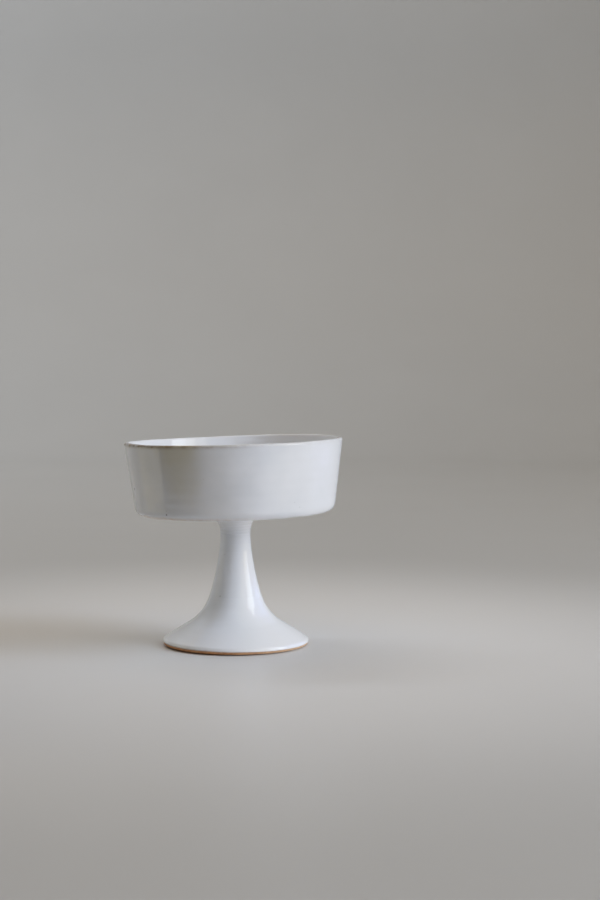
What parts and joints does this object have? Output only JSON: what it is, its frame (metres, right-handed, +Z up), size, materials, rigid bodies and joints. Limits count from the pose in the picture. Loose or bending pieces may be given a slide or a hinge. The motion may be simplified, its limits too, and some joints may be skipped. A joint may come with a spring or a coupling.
{
  "type": "dessert cup",
  "caption": "Footed dessert cup in white glazed stoneware: a shallow straight-walled bowl on a slender trumpet-shaped pedestal, luted at the neck, standing on a bare foot ring.",
  "frame": {"origin": "on the table at the centre of the foot ring, under the stem", "axes": "+Z up along the stem; +X to the right seen from the front, towards the high side of the bowl; +Y away from the viewer"},
  "size_m": [0.1149, 0.115, 0.1099],
  "materials": {
    "white_glaze": "gloss",
    "bare_clay": "matte"
  },
  "bodies": {
    "root": {"bowl": "white_glaze", "pedestal": "white_glaze", "neck_coil": "white_glaze", "joint_slip": "bare_clay"}
  },
  "joints": []
}
